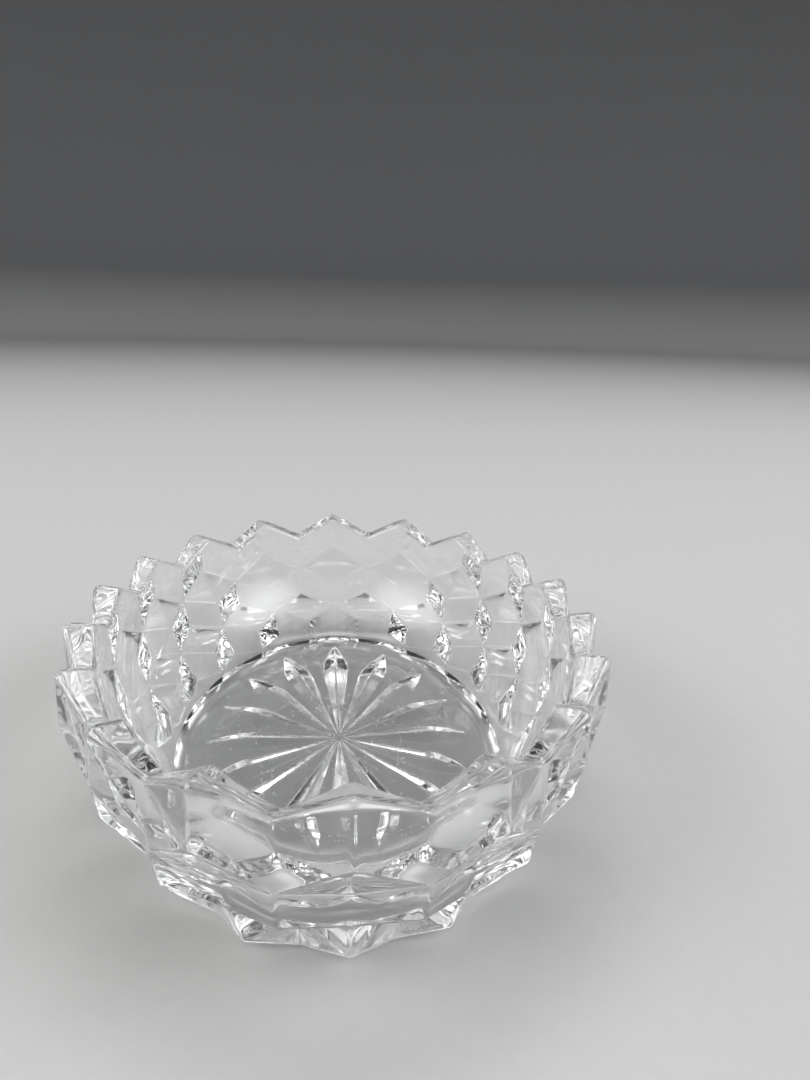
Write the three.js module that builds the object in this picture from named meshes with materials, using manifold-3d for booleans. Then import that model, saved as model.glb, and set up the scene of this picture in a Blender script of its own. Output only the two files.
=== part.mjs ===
import * as THREE from 'three';
import { mergeVertices } from 'three/addons/utils/BufferGeometryUtils.js';
import Module from 'manifold-3d';

// Oval dish of clear pressed glass, one piece. Millimetres, +Z up, long axis along Y,
// the flat underside on z = 0 and the oval centred on the Z axis.

// ---- driving dimensions -------------------------------------------------
const TEETH = 18;              // points of the saw-tooth rim, and cubes in each row of the wall
const HALF_WIDTH = 40.5;       // inside of the rim, across (X)
const HALF_LENGTH = 54.0;      // inside of the rim, along (Y)
const VALLEY_Z = 28.0;         // height of the valleys between the teeth
const TOOTH_H = 4.4;           // rise of a tooth above the valleys
const RIM_DROP = 0.7;          // the top of the rim falls this much towards the inside
const LIP_ROUND_PEAK = 1.6;    // rounding of the outer rim edge at the tip of a tooth
const LIP_ROUND_VALLEY = 0.85; // and elsewhere
const LIP_ROUND_IN = 0.7;      // rounding of the inner rim edge

const FLOOR_Z = 5.2;           // thickness of the floor
const BOWL_ACROSS = 17.0;      // the inside is a quarter ellipse in section, this far in from the wall
const BOWL_UP = 23.5;          // and this far up from the floor
const FLAT_START = 0.25;       // how much flatter than the ellipse it leaves the floor
const WALL_LEAN = 0.06;        // above it the inside wall opens outwards by this much per mm of height

// corners of the raised cubes, as [out, z]: out is measured square to the inside rim oval
const PEAK = [5.9, VALLEY_Z + TOOTH_H];
const VALLEY = [3.4, VALLEY_Z];
const TOOTH_FOOT = [5.9, 23.1];    // under a tooth, lower end of its upright ridge
const NOTCH_FOOT = [4.0, 18.3];    // under a valley, lower end of the upright groove
const ROW2_PIT = [0.5, 15.6];      // under a tooth, deepest point below its foot
const ROW2_FOOT = [2.75, 11.8];    // under a valley, lower end of the second row's ridge
const ROW2_SIDE = [-0.8, 9.2];     // under a tooth, where the second row's sides meet
const ROW3_PIT = [-5.7, 6.95];
const ROW3_FOOT = [-3.5, 1.45];     // under a tooth, the points seen at the bottom of the wall
const ROW3_SIDE = [-6.1, 0.65];
const BASE = [-7.2, 0];            // outline of the flat underside

// star pressed into the underside
const RAYS = 16;
const STAR_HALF_WIDTH = 25.0;      // reach of the rays across
const STAR_HALF_LENGTH = 40.3;     // and along
const STAR_BUTTON = 1.1;           // plain spot left at the middle
const RAY_HALF = 2.9;              // widest half-width of a ray
const RAY_SLOPE = Math.tan(35 * Math.PI / 180);

const COLS = 8;                    // facets round per tooth, even
const GLASS = 0xe9efee;

// ---- the oval, walked at even steps of its length -----------------------
function ovalWalker(a, b) {
  const n = 7200, s = [0];
  for (let i = 1; i <= n; i++) {
    const u0 = (i - 1) / n * 2 * Math.PI, u1 = i / n * 2 * Math.PI;
    s.push(s[i - 1] + Math.hypot(a * (Math.cos(u1) - Math.cos(u0)), b * (Math.sin(u1) - Math.sin(u0))));
  }
  // f = 0 at the +Y end, growing towards -X; returns the oval's own angle
  return (f) => {
    const t = (((0.25 + f) % 1) + 1) % 1 * s[n];
    let lo = 0, hi = n;
    while (hi - lo > 1) { const m = (lo + hi) >> 1; if (s[m] <= t) lo = m; else hi = m; }
    return (lo + (t - s[lo]) / (s[hi] - s[lo])) / n * 2 * Math.PI;
  };
}
const walk = ovalWalker(HALF_WIDTH, HALF_LENGTH);
function at(col, out, z) {          // col in teeth, 0 at the +Y end
  const u = walk(col / TEETH);
  let nx = Math.cos(u) / HALF_WIDTH, ny = Math.sin(u) / HALF_LENGTH;
  const l = Math.hypot(nx, ny);
  return [HALF_WIDTH * Math.cos(u) + out * nx / l, HALF_LENGTH * Math.sin(u) + out * ny / l, z];
}
const lerp = (p, q, f) => p.map((v, i) => v + (q[i] - v) * f);

// ---- inside profile: [out, z] from the rim down to the floor ------------
const innerOut = (z) => WALL_LEAN * (z - (VALLEY_Z - RIM_DROP));
const innerProfile = [];
{
  // the ellipse is tangent to the leaning wall and to the floor
  const lean = Math.atan(WALL_LEAN * BOWL_UP / BOWL_ACROSS);
  const cz = FLOOR_Z + BOWL_UP;
  const cx = innerOut(cz - BOWL_UP * Math.sin(lean)) - BOWL_ACROSS * Math.cos(lean);
  const start = Math.asin((cz - 24.5) / BOWL_UP), steps = 8;
  for (let i = 0; i <= steps; i++) {
    const a = -start - (Math.PI / 2 - start) * i / steps;
    const c = Math.max(0, Math.cos(a)), t = Math.min(1, c / 0.55);
    const power = 1 - FLAT_START * (1 - t * t * (3 - 2 * t));
    innerProfile.push([cx + BOWL_ACROSS * Math.pow(c, power), cz + BOWL_UP * Math.sin(a)]);
  }
}

// ---- one column of the closed skin, from the floor centre to the base centre
const N = TEETH * COLS;
function outerCorner(under, between, c) {
  // straight from the corner under a tooth to the corner under a valley
  const tooth = Math.round(c / COLS), d = c / COLS - tooth;
  const side = d < 0 ? -0.5 : 0.5;
  return lerp(at(tooth, ...under), at(tooth + side, ...between), Math.min(1, Math.abs(d) * 2));
}
const rows = [];                    // each row: N points
for (let i = innerProfile.length - 1; i >= 0; i--) {
  rows.push(Array.from({ length: N }, (_, c) => at(c / COLS, innerProfile[i][0], innerProfile[i][1])));
}
const innerEdge = [], innerTop = [], lipA = [], lipB = [], lipC = [], lipD = [];
for (let c = 0; c < N; c++) {
  const tooth = Math.round(c / COLS), f = Math.min(1, Math.abs(c / COLS - tooth) * 2);
  const zIn = VALLEY_Z - RIM_DROP + TOOTH_H * (1 - f);
  const pIn = at(c / COLS, innerOut(zIn), zIn);
  const edge = outerCorner(PEAK, VALLEY, c);
  const below = outerCorner(TOOTH_FOOT, NOTCH_FOOT, c);
  const r = LIP_ROUND_VALLEY + (LIP_ROUND_PEAK - LIP_ROUND_VALLEY) * Math.pow(1 - f, 4);
  const unit = (p, q) => { const v = q.map((x, i) => x - p[i]); const l = Math.hypot(...v); return v.map((x) => x / l); };
  const ti = unit(edge, pIn), td = unit(edge, below);
  const add = (s, t) => edge.map((v, i) => v + s * ti[i] + t * td[i]);
  const wallIn = at(c / COLS, innerOut(zIn - 2), zIn - 2), ui = unit(pIn, wallIn);
  innerEdge.push(pIn.map((v, i) => v + LIP_ROUND_IN * ui[i]));
  innerTop.push(pIn.map((v, i) => v - LIP_ROUND_IN * ti[i]));
  lipA.push(add(r, 0));
  lipB.push(add(r * 0.5, r * 0.134));
  lipC.push(add(r * 0.134, r * 0.5));
  lipD.push(add(0, r));
}
rows.push(innerEdge, innerTop, lipA, lipB, lipC, lipD);
const corner = (u, b) => rows.push(Array.from({ length: N }, (_, c) => outerCorner(u, b, c)));
corner(TOOTH_FOOT, NOTCH_FOOT);
corner(ROW2_PIT, NOTCH_FOOT);
corner(ROW2_SIDE, ROW2_FOOT);
corner(ROW2_SIDE, ROW3_PIT);
corner(ROW3_FOOT, ROW3_SIDE);
corner(BASE, ROW3_SIDE);
corner(BASE, BASE);

const pos = [], tri = [];
rows.forEach((row) => row.forEach((p) => pos.push(...p)));
const floorCentre = pos.length / 3; pos.push(0, 0, FLOOR_Z);
const baseCentre = pos.length / 3; pos.push(0, 0, 0);
const id = (r, c) => r * N + ((c % N) + N) % N;
for (let c = 0; c < N; c++) {
  // columns run towards -X from the +Y end, so anticlockwise seen from above
  tri.push(floorCentre, id(0, c), id(0, c + 1));
  for (let r = 0; r + 1 < rows.length; r++) {
    tri.push(id(r, c), id(r + 1, c), id(r + 1, c + 1));
    tri.push(id(r, c), id(r + 1, c + 1), id(r, c + 1));
  }
  tri.push(id(rows.length - 1, c), baseCentre, id(rows.length - 1, c + 1));
}

// ---- solids ---------------------------------------------------------------
const wasm = await Module();
wasm.setup();
function solid(positions, indices) {
  let g = new THREE.BufferGeometry();
  g.setAttribute('position', new THREE.Float32BufferAttribute(positions, 3));
  g.setIndex(indices);
  g = mergeVertices(g, 1e-4);
  const ix = [];
  for (let i = 0; i < g.index.count; i += 3) {
    const [a, b, c] = [g.index.getX(i), g.index.getX(i + 1), g.index.getX(i + 2)];
    if (a !== b && b !== c && a !== c) ix.push(a, b, c);
  }
  return new wasm.Manifold(new wasm.Mesh({
    numProp: 3,
    vertProperties: new Float32Array(g.attributes.position.array),
    triVerts: new Uint32Array(ix),
  }));
}

// one ray of the star: a V-groove, leaf shaped in plan, deepest where it is widest
const starWalk = ovalWalker(STAR_HALF_WIDTH, STAR_HALF_LENGTH);
function ray(k) {
  const u = starWalk(k / RAYS);
  const tip = [STAR_HALF_WIDTH * Math.cos(u), STAR_HALF_LENGTH * Math.sin(u)];
  const len = Math.hypot(...tip), d = tip.map((v) => v / len), n = [-d[1], d[0]];
  const below = 0.4, extra = below / RAY_SLOPE;
  // [distance from the middle, half-width at the underside]
  const leaf = [[STAR_BUTTON, 0.12], [len * 0.30, RAY_HALF * 0.42], [len * 0.55, RAY_HALF * 0.80], [len * 0.68, RAY_HALF],
    [len * 0.76, RAY_HALF * 0.94], [len * 0.84, RAY_HALF * 0.72], [len * 0.91, RAY_HALF * 0.44], [len * 0.965, RAY_HALF * 0.18], [len, 0.05]];
  const P = [], T = [];
  P.push(d[0] * (STAR_BUTTON - 0.3), d[1] * (STAR_BUTTON - 0.3), -below);
  for (const [s, w] of leaf) {
    const h = w + extra;
    P.push(d[0] * s + n[0] * h, d[1] * s + n[1] * h, -below);
    P.push(d[0] * s - n[0] * h, d[1] * s - n[1] * h, -below);
    P.push(d[0] * s, d[1] * s, h * RAY_SLOPE - below);
  }
  const end = P.length / 3;
  P.push(d[0] * (len + 0.3), d[1] * (len + 0.3), -below);
  const L = (i) => 1 + 3 * i, R = (i) => 2 + 3 * i, A = (i) => 3 + 3 * i;
  T.push(0, A(0), L(0), 0, R(0), A(0), 0, L(0), R(0));
  for (let i = 0; i + 1 < leaf.length; i++) {
    T.push(L(i), A(i), A(i + 1), L(i), A(i + 1), L(i + 1));
    T.push(A(i), R(i), R(i + 1), A(i), R(i + 1), A(i + 1));
    T.push(R(i), L(i), L(i + 1), R(i), L(i + 1), R(i + 1));
  }
  const m = leaf.length - 1;
  T.push(end, L(m), A(m), end, A(m), R(m), end, R(m), L(m));
  return solid(P, T);
}

let body = solid(pos, tri);
const star = Array.from({ length: RAYS }, (_, k) => ray(k));
body = body.subtract(wasm.Manifold.union(star));

// ---- mesh -----------------------------------------------------------------
const out = body.getMesh();
const vp = [];
for (let i = 0; i < out.vertProperties.length; i += out.numProp) {
  vp.push(out.vertProperties[i], out.vertProperties[i + 1], out.vertProperties[i + 2]);
}
let geometry = new THREE.BufferGeometry();
geometry.setAttribute('position', new THREE.Float32BufferAttribute(vp, 3));
geometry.setIndex(Array.from(out.triVerts));
geometry = geometry.toNonIndexed();
geometry.computeVertexNormals();

const group = new THREE.Group();
group.name = 'oval_glass_dish';
const dish = new THREE.Mesh(geometry, new THREE.MeshStandardMaterial({ color: GLASS, roughness: 0.04, metalness: 0 }));
dish.name = 'dish';
group.add(dish);

export default group;
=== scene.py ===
import math

import bpy
import numpy as np
from mathutils import Matrix, Vector


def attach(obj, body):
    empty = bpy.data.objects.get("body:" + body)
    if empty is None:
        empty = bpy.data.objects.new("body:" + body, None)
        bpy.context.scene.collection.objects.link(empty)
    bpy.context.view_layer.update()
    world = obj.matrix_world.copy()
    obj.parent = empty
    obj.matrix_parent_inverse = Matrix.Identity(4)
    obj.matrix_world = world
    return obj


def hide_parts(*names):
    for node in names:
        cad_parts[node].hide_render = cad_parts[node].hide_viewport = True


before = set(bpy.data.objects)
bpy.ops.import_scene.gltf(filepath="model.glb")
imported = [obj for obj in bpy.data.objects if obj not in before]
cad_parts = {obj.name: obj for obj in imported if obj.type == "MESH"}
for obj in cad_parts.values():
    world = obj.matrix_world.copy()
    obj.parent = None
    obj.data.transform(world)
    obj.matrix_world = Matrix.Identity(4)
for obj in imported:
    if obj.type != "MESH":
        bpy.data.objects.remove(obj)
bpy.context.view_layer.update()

# ---------------------------------------------------------------------------
# The dish's dimensions in millimetres, the same as the solid's.
TEETH = 18
HALF_WIDTH, HALF_LENGTH = 40.5, 54.0
VALLEY_Z, TOOTH_H, RIM_DROP = 28.0, 4.4, 0.7
FLOOR_Z, WALL_LEAN = 5.2, 0.06
BOWL_ACROSS, BOWL_UP = 17.0, 23.5   # the round between the inside wall and the floor: how far in, how far up
FLAT_START = 0.25                  # how much flatter than the ellipse it leaves the floor
LIP_ROUND, TIP_ROUND, LIP_ROUND_IN = 0.85, 1.9, 0.9

# Corners of the raised cubes, [under a tooth], [under a valley], as (out, z).
ROWS = [
    ((5.90, 40.0), (2.66, 40.0)),
    ((5.90, 23.1), (4.00, 18.3)),
    ((0.50, 15.6), (4.00, 18.3)),
    ((-0.80, 9.2), (2.75, 11.8)),
    ((-0.80, 9.2), (-5.70, 6.95)),
    ((-3.50, 1.45), (-6.10, 0.65)),
    ((-7.20, 0.0), (-6.10, 0.65)),
    ((-7.20, 0.0), (-7.20, 0.0)),
]
BASE_OUT = -7.2

RAYS = 16
STAR_HALF_WIDTH, STAR_HALF_LENGTH = 25.0, 40.3
RAY_HALF, RAY_SLOPE = 2.9, math.tan(math.radians(35))
STAR_BUTTON = 1.1                  # plain spot left at the middle
LEAF = [(0.0, 0.04), (0.30, 0.42), (0.55, 0.80), (0.68, 1.0), (0.76, 0.94), (0.84, 0.72), (0.91, 0.44), (0.965, 0.18), (1.0, 0.0)]

PER_TOOTH = 40                     # columns of the fine mesh in one tooth
N = TEETH * PER_TOOTH


# ---------------------------------------------------------------------------
def walker(a, b):
    u = np.linspace(0, 2 * np.pi, 14401)
    s = np.r_[0, np.cumsum(np.hypot(np.diff(a * np.cos(u)), np.diff(b * np.sin(u))))]
    s /= s[-1]
    return lambda f: np.interp((0.25 + np.asarray(f, float)) % 1.0, s, u)


rim_walk = walker(HALF_WIDTH, HALF_LENGTH)


def frame_at(col):
    """The oval's point, outward direction and tangent at a column, counted in teeth."""
    u = rim_walk(np.asarray(col, float) / TEETH)
    e = np.stack([HALF_WIDTH * np.cos(u), HALF_LENGTH * np.sin(u)], -1)
    n = np.stack([np.cos(u) / HALF_WIDTH, np.sin(u) / HALF_LENGTH], -1)
    n /= np.linalg.norm(n, axis=-1, keepdims=True)
    t = np.stack([-n[..., 1], n[..., 0]], -1)
    return e, n, t


def blur(field, sigma, axis, closed):
    """Gaussian blur along one axis, sigma in samples."""
    r = max(1, int(3.5 * sigma))
    k = np.exp(-0.5 * (np.arange(-r, r + 1) / sigma) ** 2)
    k /= k.sum()
    mode = "wrap" if closed else "edge"
    pad = [(0, 0)] * field.ndim
    pad[axis] = (r, r)
    f = np.pad(field, pad, mode=mode)
    out = np.zeros_like(field)
    for i, w in enumerate(k):
        sl = [slice(None)] * field.ndim
        sl[axis] = slice(i, i + field.shape[axis])
        out += w * f[tuple(sl)]
    return out


col = np.arange(N) / PER_TOOTH
E, NRM, TAN = frame_at(col)
arc = np.linalg.norm(np.roll(E, -1, 0) - E, axis=1).mean()     # mm between columns

# Section of the faceted wall in every column's own upright plane: (out, z) of each row.
tooth = np.round(col)
side = np.where(col - tooth < 0, -0.5, 0.5)
sec = np.zeros((N, len(ROWS), 2))
for j, (under, between) in enumerate(ROWS):
    ea, na, _ = frame_at(tooth)
    eb, nb, _ = frame_at(tooth + side)
    pa, pb = ea + under[0] * na, eb + between[0] * nb
    da = ((pa - E) * TAN).sum(1)
    db = ((pb - E) * TAN).sum(1)
    f = np.clip(-da / (db - da), 0, 1)
    p = pa + (pb - pa) * f[:, None]
    sec[:, j, 0] = ((p - E) * NRM).sum(1)
    sec[:, j, 1] = under[1] + (between[1] - under[1]) * f

# A smooth middle line of the wall's section, and the wall's distance from it, so that the edges can be rounded.
MID = np.array([(4.3, 40.0), (4.3, 24.0), (3.6, 19.0), (2.2, 14.0), (0.0, 9.6), (-2.6, 5.4), (-5.2, 2.2), (-8.0, 0.45), (-11.0, 0.0), (-14.0, 0.0)])


def smooth_line(points, step):
    p = np.array(points, float)
    s = np.r_[0, np.cumsum(np.hypot(*np.diff(p, axis=0).T))]
    q = np.arange(0, s[-1], step)
    line = np.stack([np.interp(q, s, p[:, 0]), np.interp(q, s, p[:, 1])], 1)
    for i in range(2):
        line[:, i] = blur(line[:, i], 1.6 / step, 0, False)
    return line


STEP = 0.30
mid = smooth_line(MID, STEP)
mid = mid[mid[:, 1] < 39.0]
d = np.gradient(mid, axis=0)
d /= np.linalg.norm(d, axis=1, keepdims=True)
mid_out = np.stack([-d[:, 1], d[:, 0]], 1)         # square to the line, away from the glass
M = len(mid)

dist = np.zeros((N, M))
for i in range(N):
    a, b = sec[i, :-1], sec[i, 1:]
    keep = np.linalg.norm(b - a, axis=1) > 1e-6
    a, b = a[keep], b[keep]
    a = np.vstack([a, b[-1]])
    b = np.vstack([b, [b[-1][0] - 12.0, 0.0]])
    e = b - a
    # mid + s * out = a + r * e
    det = mid_out[:, None, 0] * -e[None, :, 1] + mid_out[:, None, 1] * e[None, :, 0]
    w = a[None] - mid[:, None]
    det = np.where(np.abs(det) < 1e-9, 1e-9, det)
    s = (w[..., 0] * -e[None, :, 1] + w[..., 1] * e[None, :, 0]) / det
    r = (mid_out[:, None, 0] * w[..., 1] - mid_out[:, None, 1] * w[..., 0]) / det
    ok = (r >= -1e-6) & (r <= 1 + 1e-6) & (np.abs(s) < 9)
    s = np.where(ok, s, np.inf)
    dist[i] = s[np.arange(M), np.argmin(np.abs(s), axis=1)]
dist[~np.isfinite(dist)] = 0.0

EDGE = 0.26                        # mm, how far the pressed edges are softened
dist = blur(dist, EDGE / arc, 0, True)
dist = blur(dist, EDGE / STEP, 1, False)

# Rim height in each column, its points and notches a little rounded.
zig = 1 - np.abs((col - tooth) * 2)
zig = blur(zig, 0.30 / arc, 0, True)
z_out = VALLEY_Z + TOOTH_H * zig
z_in = z_out - RIM_DROP
lip = LIP_ROUND + (TIP_ROUND - LIP_ROUND) * np.clip(zig, 0, 1) ** 5


def wall_point(i, v):
    """(out, z) on the outer wall of column i at line index v, both arrays."""
    v0 = np.clip(np.floor(v).astype(int), 0, M - 2)
    g = v - v0
    m = mid[v0] * (1 - g)[..., None] + mid[v0 + 1] * g[..., None]
    o = mid_out[v0] * (1 - g)[..., None] + mid_out[v0 + 1] * g[..., None]
    dd = dist[i, v0] * (1 - g) + dist[i, v0 + 1] * g
    return m + o * dd[..., None]


idx = np.arange(N)
v_of_z = lambda z: np.interp(-z, -mid[:, 1], np.arange(M))
V_FIX = float(v_of_z(22.0))
TOP_ROWS = 34
rings = []                          # each (N, 2): out, z

# inside: floor edge upwards
inner_out = lambda z: WALL_LEAN * (z - (VALLEY_Z - RIM_DROP))
lean = math.atan(WALL_LEAN * BOWL_UP / BOWL_ACROSS)      # where on the ellipse the straight wall takes over
cz = FLOOR_Z + BOWL_UP
cx = inner_out(cz - BOWL_UP * math.sin(lean)) - BOWL_ACROSS * math.cos(lean)
STEPS = 34
TOP_OF_BOWL = 26.0
for i in range(STEPS + 1):
    a = -math.pi / 2 + (math.pi / 2 - lean) * i / STEPS
    c = max(0.0, math.cos(a))
    t = min(1.0, c / 0.55)
    q = [cx + BOWL_ACROSS * c ** (1 - FLAT_START * (1 - t * t * (3 - 2 * t))), cz + BOWL_UP * math.sin(a)]
    if q[1] > TOP_OF_BOWL:
        break
    rings.append(np.tile(q, (N, 1)))
z0 = rings[-1][0, 1]
x0 = rings[-1][0, 0]
# the inside wall, stretched up to the notched edge, with a small round where it meets the top
R_IN = LIP_ROUND_IN
top_o = wall_point(idx, v_of_z(z_out - lip))      # where the outer round starts
tip = np.stack([wall_point(idx, v_of_z(z_out))[:, 0], z_out], 1)
edge_in = np.stack([inner_out(z_in), z_in], 1)
for i in range(1, 11):
    g = i / 10
    z = z0 + (z_in - R_IN - z0) * g
    rings.append(np.stack([x0 + (inner_out(z) - x0) * g, z], 1))


def unit(v):
    return v / np.linalg.norm(v, axis=1, keepdims=True)


along = unit(tip - edge_in)                       # across the top, outwards
up = unit(np.stack([np.full(N, WALL_LEAN), np.ones(N)], 1))


def corner_round(p, din, dout, r, steps):
    """Bezier round of the corner p, coming in along din and leaving along dout."""
    a, b = p - din * r, p + dout * r
    for i in range(1, steps):
        t = i / steps
        k = 0.56
        c1, c2 = a + (p - a) * k, b + (p - b) * k
        yield ((1 - t) ** 3 * a + 3 * (1 - t) ** 2 * t * c1 + 3 * (1 - t) * t * t * c2 + t ** 3 * b)


for ring in corner_round(edge_in, up, along, R_IN, 6):
    rings.append(ring)
start = edge_in + along * R_IN
end = tip - along * lip[:, None]
for i in range(0, 5):
    rings.append(start + (end - start) * (i / 4))
down = unit(top_o - tip)
for ring in corner_round(tip, along, down, lip[:, None], 10):
    rings.append(ring)
# outside: from under the round, down the wall, round the foot
v_top = v_of_z(z_out - lip)
for i in range(TOP_ROWS):
    rings.append(wall_point(idx, v_top + (V_FIX - v_top) * i / TOP_ROWS))
v_end = float(np.argmax(mid[:, 0] < -10.0))
rows_low = int(round(v_end - V_FIX))
for i in range(rows_low + 1):
    p = wall_point(idx, np.full(N, V_FIX + (v_end - V_FIX) * i / rows_low))
    p[:, 1] = np.maximum(p[:, 1], 0.0)
    rings.append(p)

to_xy = lambda ring: E + NRM * ring[:, :1]
verts = [np.column_stack([to_xy(r), r[:, 1]]) for r in rings]

# the floor inside, closing in on its middle
floor_ring = verts[0]
floor = []
FL = 12
for i in range(1, FL):
    g = 1 - i / FL
    floor.append(np.column_stack([floor_ring[:, :2] * g, np.full(N, FLOOR_Z)]))
floor = floor[::-1]

# the star in the underside
star_walk = walker(STAR_HALF_WIDTH, STAR_HALF_LENGTH)


def star_depth(xy):
    x, y = xy[:, 0], xy[:, 1]
    best = np.zeros(len(x))
    for k in range(RAYS):
        u = float(star_walk(k / RAYS))
        tipx, tipy = STAR_HALF_WIDTH * math.cos(u), STAR_HALF_LENGTH * math.sin(u)
        ln = math.hypot(tipx, tipy)
        dx, dy = tipx / ln, tipy / ln
        s = (x * dx + y * dy) / ln
        w = np.abs(-x * dy + y * dx)
        half = np.interp(s, [a for a, _ in LEAF], [b for _, b in LEAF], left=0.0, right=0.0) * RAY_HALF
        soft = 0.10
        h = (half - np.sqrt(w * w + 0.12 ** 2)) / soft
        dep = soft * np.where(h > 30, h, np.log1p(np.exp(np.clip(h, -40, 30)))) * RAY_SLOPE
        dep = np.where((s <= 0) | (s >= 1), 0, dep)
        best = np.maximum(best, dep)
    g = np.clip((np.hypot(x, y) - STAR_BUTTON + 0.3) / 0.8, 0, 1)
    return best * g * g * (3 - 2 * g)


base_ring = verts[-1]
base = []
BR = 76
for i in range(1, BR):
    g = 1 - i / BR
    xy = base_ring[:, :2] * g
    z = base_ring[:, 2] * max(0.0, 1 - i / 4) + star_depth(xy)
    base.append(np.column_stack([xy, z]))

grid = np.array(floor + verts + base)               # rows from the floor's middle round to the base's middle
R = len(grid)
flat = grid.reshape(-1, 3)
centre_top = np.array([[0.0, 0.0, FLOOR_Z]])
centre_bot = np.array([[0.0, 0.0, float(star_depth(np.array([[0.4, 0.0]]))[0])]])
allv = np.vstack([flat, centre_top, centre_bot]) / 1000.0
r, c = np.meshgrid(np.arange(R - 1), np.arange(N), indexing="ij")
c1 = (c + 1) % N
quads = np.stack([r * N + c, (r + 1) * N + c, (r + 1) * N + c1, r * N + c1], -1).reshape(-1, 4)
cc = np.arange(N)
top_fan = np.stack([np.full(N, R * N), cc, (cc + 1) % N], -1)
bot_fan = np.stack([(R - 1) * N + cc, np.full(N, R * N + 1), (R - 1) * N + (cc + 1) % N], -1)

me = bpy.data.meshes.new("dish_glass")
me.vertices.add(len(allv))
me.vertices.foreach_set("co", allv.astype(np.float32).ravel())
loops = np.concatenate([quads.ravel(), top_fan.ravel(), bot_fan.ravel()])
me.loops.add(len(loops))
me.loops.foreach_set("vertex_index", loops.astype(np.int32))
nf = len(quads) + 2 * N
me.polygons.add(nf)
starts = np.concatenate([np.arange(len(quads)) * 4, len(quads) * 4 + np.arange(2 * N) * 3])
totals = np.concatenate([np.full(len(quads), 4), np.full(2 * N, 3)])
me.polygons.foreach_set("loop_start", starts.astype(np.int32))
me.polygons.foreach_set("loop_total", totals.astype(np.int32))
me.polygons.foreach_set("use_smooth", np.ones(nf, dtype=bool))
me.update(calc_edges=True)
me.validate()
dish = bpy.data.objects.new("glass_dish", me)
bpy.context.scene.collection.objects.link(dish)
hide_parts("dish")
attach(dish, "root")


# ---------------------------------------------------------------------------
def new_material(name):
    m = bpy.data.materials.new(name)
    m.use_nodes = True
    nt = m.node_tree
    nt.nodes.clear()
    out = nt.nodes.new("ShaderNodeOutputMaterial")
    p = nt.nodes.new("ShaderNodeBsdfPrincipled")
    nt.links.new(p.outputs[0], out.inputs["Surface"])
    return m, nt, p, out


def add(nt, kind, **values):
    n = nt.nodes.new(kind)
    for k, v in values.items():
        if k in n.inputs:
            n.inputs[k].default_value = v
        else:
            setattr(n, k, v)
    return n


def math_node(nt, op, *args, clamp=False):
    n = nt.nodes.new("ShaderNodeMath")
    n.operation = op
    n.use_clamp = clamp
    for i, v in enumerate(args):
        if isinstance(v, (int, float)):
            n.inputs[i].default_value = v
        else:
            nt.links.new(v, n.inputs[i])
    return n.outputs[0]


def map_range(nt, value, lo, hi, to_lo, to_hi):
    n = nt.nodes.new("ShaderNodeMapRange")
    nt.links.new(value, n.inputs["Value"])
    for k, v in (("From Min", lo), ("From Max", hi), ("To Min", to_lo), ("To Max", to_hi)):
        n.inputs[k].default_value = v
    return n.outputs["Result"]


glass, nt, p, out = new_material("clear_glass")
p.inputs["Base Color"].default_value = (0.985, 0.992, 0.99, 1)
p.inputs["Transmission Weight"].default_value = 1.0
p.inputs["IOR"].default_value = 1.52
coord = add(nt, "ShaderNodeTexCoord")
place = coord.outputs["Object"]
xyz = add(nt, "ShaderNodeSeparateXYZ")
nt.links.new(place, xyz.inputs[0])
X, Y, Z = xyz.outputs[0], xyz.outputs[1], xyz.outputs[2]

# faint handling marks in the roughness
smear = add(nt, "ShaderNodeTexNoise", Scale=55.0, Detail=5.0, Roughness=0.65)
nt.links.new(place, smear.inputs["Vector"])
rough = map_range(nt, smear.outputs["Fac"], 0.52, 0.80, 0.008, 0.045)
# hairline scratches of use on the floor inside, within an oval a little wider than its flat part
oval = math_node(nt, "ADD", math_node(nt, "POWER", math_node(nt, "DIVIDE", math_node(nt, "ABSOLUTE", X), 0.026), 2.0),
                 math_node(nt, "POWER", math_node(nt, "DIVIDE", math_node(nt, "ABSOLUTE", Y), 0.039), 2.0))
on_floor = math_node(nt, "MULTIPLY", math_node(nt, "LESS_THAN", oval, 1.0), math_node(nt, "GREATER_THAN", Z, 0.0050))
bend = add(nt, "ShaderNodeTexNoise", Scale=28.0, Detail=0.0)
nt.links.new(place, bend.inputs["Vector"])
bent = math_node(nt, "MULTIPLY", math_node(nt, "SUBTRACT", bend.outputs["Fac"], 0.5), 0.006)
for i, (turned, across, lengthwise) in enumerate(((14, 1500.0, 60.0), (-49, 1300.0, 75.0), (71, 1700.0, 55.0), (-83, 1400.0, 85.0))):
    ca, sa = math.cos(math.radians(turned)), math.sin(math.radians(turned))
    run = math_node(nt, "ADD", math_node(nt, "MULTIPLY", X, ca), math_node(nt, "MULTIPLY", Y, sa))
    off = math_node(nt, "SUBTRACT", math_node(nt, "MULTIPLY", Y, ca), math_node(nt, "MULTIPLY", X, sa))
    at = add(nt, "ShaderNodeCombineXYZ")
    at.inputs[2].default_value = 3.7 * i + 0.5
    nt.links.new(math_node(nt, "MULTIPLY", run, lengthwise), at.inputs[0])
    nt.links.new(math_node(nt, "MULTIPLY", math_node(nt, "ADD", off, bent), across), at.inputs[1])
    line = add(nt, "ShaderNodeTexNoise", Scale=1.0, Detail=0.0)
    nt.links.new(at.outputs[0], line.inputs["Vector"])
    hair = math_node(nt, "MULTIPLY", map_range(nt, line.outputs["Fac"], 0.705, 0.735, 0.0, 1.0), on_floor)
    rough = math_node(nt, "ADD", rough, math_node(nt, "MULTIPLY", hair, 0.20))
nt.links.new(rough, p.inputs["Roughness"])

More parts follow.
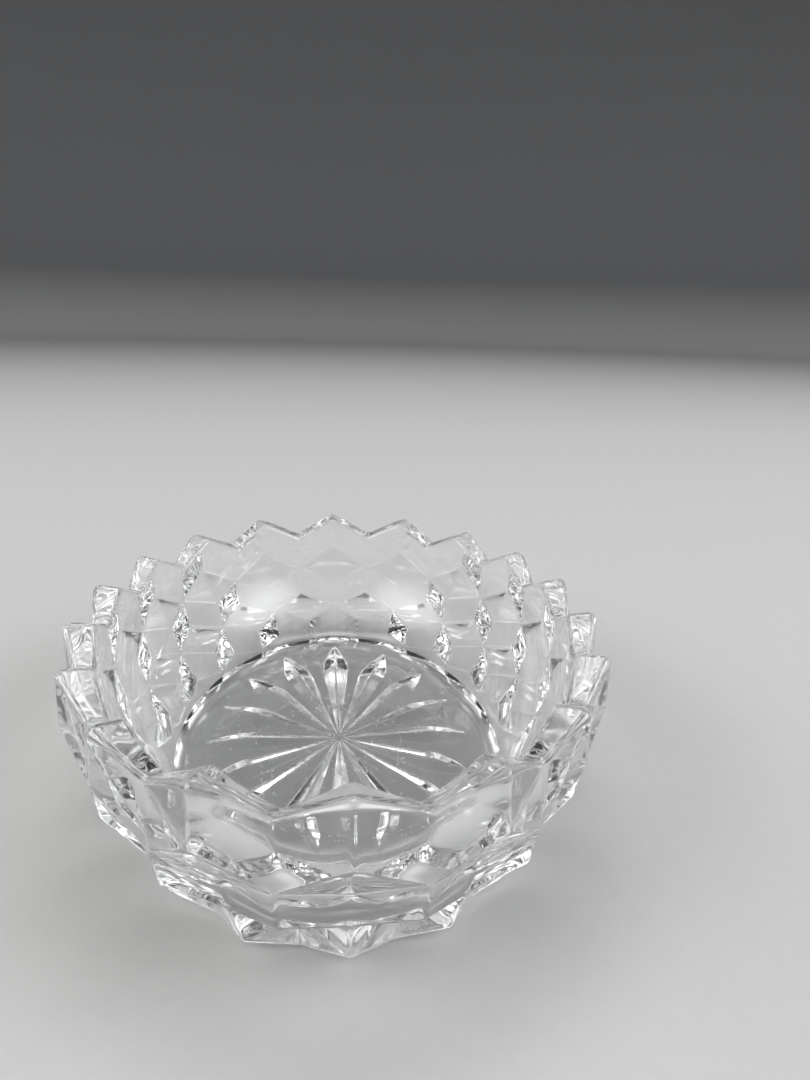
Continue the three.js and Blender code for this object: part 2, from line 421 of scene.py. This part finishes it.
# the skin of pressed glass: long soft ripples, a fine orange peel, and mould lines running out along the star
ripple = add(nt, "ShaderNodeTexNoise", Scale=70.0, Detail=2.0, Distortion=0.4)
nt.links.new(place, ripple.inputs["Vector"])
b1 = add(nt, "ShaderNodeBump", Strength=0.35, Distance=0.0002)
nt.links.new(ripple.outputs["Fac"], b1.inputs["Height"])
peel = add(nt, "ShaderNodeTexNoise", Scale=260.0, Detail=1.0)
nt.links.new(place, peel.inputs["Vector"])
b2 = add(nt, "ShaderNodeBump", Strength=0.2, Distance=0.00003)
nt.links.new(peel.outputs["Fac"], b2.inputs["Height"])
nt.links.new(b1.outputs["Normal"], b2.inputs["Normal"])
turn = math_node(nt, "ARCTAN2", Y, X)
reach = math_node(nt, "SQRT", math_node(nt, "ADD", math_node(nt, "MULTIPLY", X, X), math_node(nt, "MULTIPLY", Y, Y)))
fan = add(nt, "ShaderNodeCombineXYZ")
nt.links.new(math_node(nt, "MULTIPLY", turn, 75.0), fan.inputs[0])
nt.links.new(math_node(nt, "MULTIPLY", reach, 45.0), fan.inputs[1])
lines = add(nt, "ShaderNodeTexNoise", Scale=1.0, Detail=2.0)
nt.links.new(fan.outputs[0], lines.inputs["Vector"])
low = map_range(nt, Z, 0.0022, 0.0030, 1.0, 0.0)
raised = map_range(nt, Z, 0.00002, 0.0003, 0.0, 1.0)
height = math_node(nt, "MULTIPLY", lines.outputs["Fac"], math_node(nt, "MULTIPLY", low, raised))
b3 = add(nt, "ShaderNodeBump", Strength=0.5, Distance=0.00006)
nt.links.new(height, b3.inputs["Height"])
nt.links.new(b2.outputs["Normal"], b3.inputs["Normal"])
nt.links.new(b3.outputs["Normal"], p.inputs["Normal"])
me.materials.append(glass)

# ---------------------------------------------------------------------------
# a pale round floor that turns up into a greyer wall far behind
paper, nt, p, out = new_material("studio_paper")
coord = add(nt, "ShaderNodeTexCoord")
xyz = add(nt, "ShaderNodeSeparateXYZ")
nt.links.new(coord.outputs["Object"], xyz.inputs[0])
grain = add(nt, "ShaderNodeTexNoise", Scale=350.0, Detail=4.0)
nt.links.new(coord.outputs["Object"], grain.inputs["Vector"])
mix = add(nt, "ShaderNodeMix", data_type="RGBA")
mix.inputs[6].default_value = (0.57, 0.57, 0.565, 1)
mix.inputs[7].default_value = (0.60, 0.60, 0.595, 1)
nt.links.new(grain.outputs["Fac"], mix.inputs[0])
wall = add(nt, "ShaderNodeMix", data_type="RGBA")
nt.links.new(map_range(nt, xyz.outputs[2], 0.0, 0.16, 0.0, 1.0), wall.inputs[0])
nt.links.new(mix.outputs[2], wall.inputs[6])
wall.inputs[7].default_value = (0.22, 0.224, 0.23, 1)
nt.links.new(wall.outputs[2], p.inputs["Base Color"])
p.inputs["Roughness"].default_value = 0.85
SEGS = 72
COVE_AT, COVE, WALL_TOP = 1.75, 0.35, 2.0
profile = [(r, 0.0) for r in (0.25, 0.5, 0.8, 1.1, 1.4, COVE_AT)]
profile += [(COVE_AT + COVE * math.sin(math.pi / 2 * i / 12), COVE - COVE * math.cos(math.pi / 2 * i / 12)) for i in range(1, 13)]
profile += [(COVE_AT + COVE, WALL_TOP)]
sv = [(r * math.cos(2 * math.pi * j / SEGS), r * math.sin(2 * math.pi * j / SEGS), z - 0.0004) for r, z in profile for j in range(SEGS)]
sv.append((0.0, 0.0, -0.0004))
sf = [(len(sv) - 1, j, (j + 1) % SEGS) for j in range(SEGS)]
for i in range(len(profile) - 1):
    sf += [(i * SEGS + j, (i + 1) * SEGS + j, (i + 1) * SEGS + (j + 1) % SEGS, i * SEGS + (j + 1) % SEGS) for j in range(SEGS)]
sm = bpy.data.meshes.new("studio_floor")
sm.from_pydata(sv, [], sf)
for q in sm.polygons:
    q.use_smooth = True
sm.materials.append(paper)
studio = bpy.data.objects.new("studio_floor", sm)
bpy.context.scene.collection.objects.link(studio)


# ---------------------------------------------------------------------------
def area(name, loc, target, size, power, colour=(1, 1, 1), size_y=None, shape="ELLIPSE"):
    l = bpy.data.lights.new(name, "AREA")
    l.shape = shape
    l.size = size
    l.size_y = size_y or size
    l.energy = power
    l.color = colour
    # brightest in the middle, fading to the edge like a diffuser
    l.use_nodes = True
    em = next(n for n in l.node_tree.nodes if n.type == "EMISSION")
    geo = add(l.node_tree, "ShaderNodeNewGeometry")
    off = add(l.node_tree, "ShaderNodeVectorMath", operation="SUBTRACT")
    off.inputs[1].default_value = (0.5, 0.5, 0.0)
    l.node_tree.links.new(geo.outputs["Parametric"], off.inputs[0])
    far = add(l.node_tree, "ShaderNodeVectorMath", operation="LENGTH")
    l.node_tree.links.new(off.outputs[0], far.inputs[0])
    fade = map_range(l.node_tree, far.outputs["Value"], 0.06, 0.46, 2.9, 0.05)
    l.node_tree.links.new(fade, em.inputs["Strength"])
    o = bpy.data.objects.new(name, l)
    o.location = loc
    v = Vector(target) - Vector(loc)
    o.rotation_euler = v.to_track_quat("-Z", "Y").to_euler()
    o.visible_camera = False
    bpy.context.scene.collection.objects.link(o)
    return o


# lights
area("soft_right", (1.15, -0.35, 0.78), (0, 0, 0.05), 1.9, 15.5, (0.97, 0.985, 1.0), 1.35)
area("soft_left", (-1.10, -0.30, 0.85), (0, 0, 0.05), 1.9, 13.5, (1.0, 0.99, 0.975), 1.35)
area("soft_back", (0.0, 0.42, 1.25), (0, 0, 0.02), 1.7, 7.0, (1, 1, 1), 0.8)

world = bpy.data.worlds.new("studio")
bpy.context.scene.world = world
world.use_nodes = True
bg = world.node_tree.nodes["Background"]
bg.inputs["Color"].default_value = (0.50, 0.53, 0.56, 1)
bg.inputs["Strength"].default_value = 0.03

# ---------------------------------------------------------------------------
# camera at the photograph's angle: its right, up and back directions, and its place in metres
VIEW = [
    (0.9934165, -0.1114419, 0.0265388),
    (0.0077981, 0.2969082, 0.9548742),
    (-0.1142926, -0.9483809, 0.2958225),
]
VIEW_AT = (-0.0035991, -0.1281693, 0.0832290)
cam = bpy.data.cameras.new("view")
cam.sensor_width = 36.0
cam.lens = 749.0 / 1080.0 * 36.0
cam.clip_start = 0.005
cam.clip_end = 20
cam_ob = bpy.data.objects.new("view", cam)
cam_ob.matrix_world = Matrix.Translation(VIEW_AT) @ Matrix(VIEW).transposed().to_4x4()
bpy.context.scene.collection.objects.link(cam_ob)
bpy.context.scene.camera = cam_ob

sc = bpy.context.scene
sc.cycles.max_bounces = 24
sc.cycles.transmission_bounces = 20
sc.cycles.glossy_bounces = 12
sc.cycles.transparent_max_bounces = 16
sc.view_settings.view_transform = "Standard"
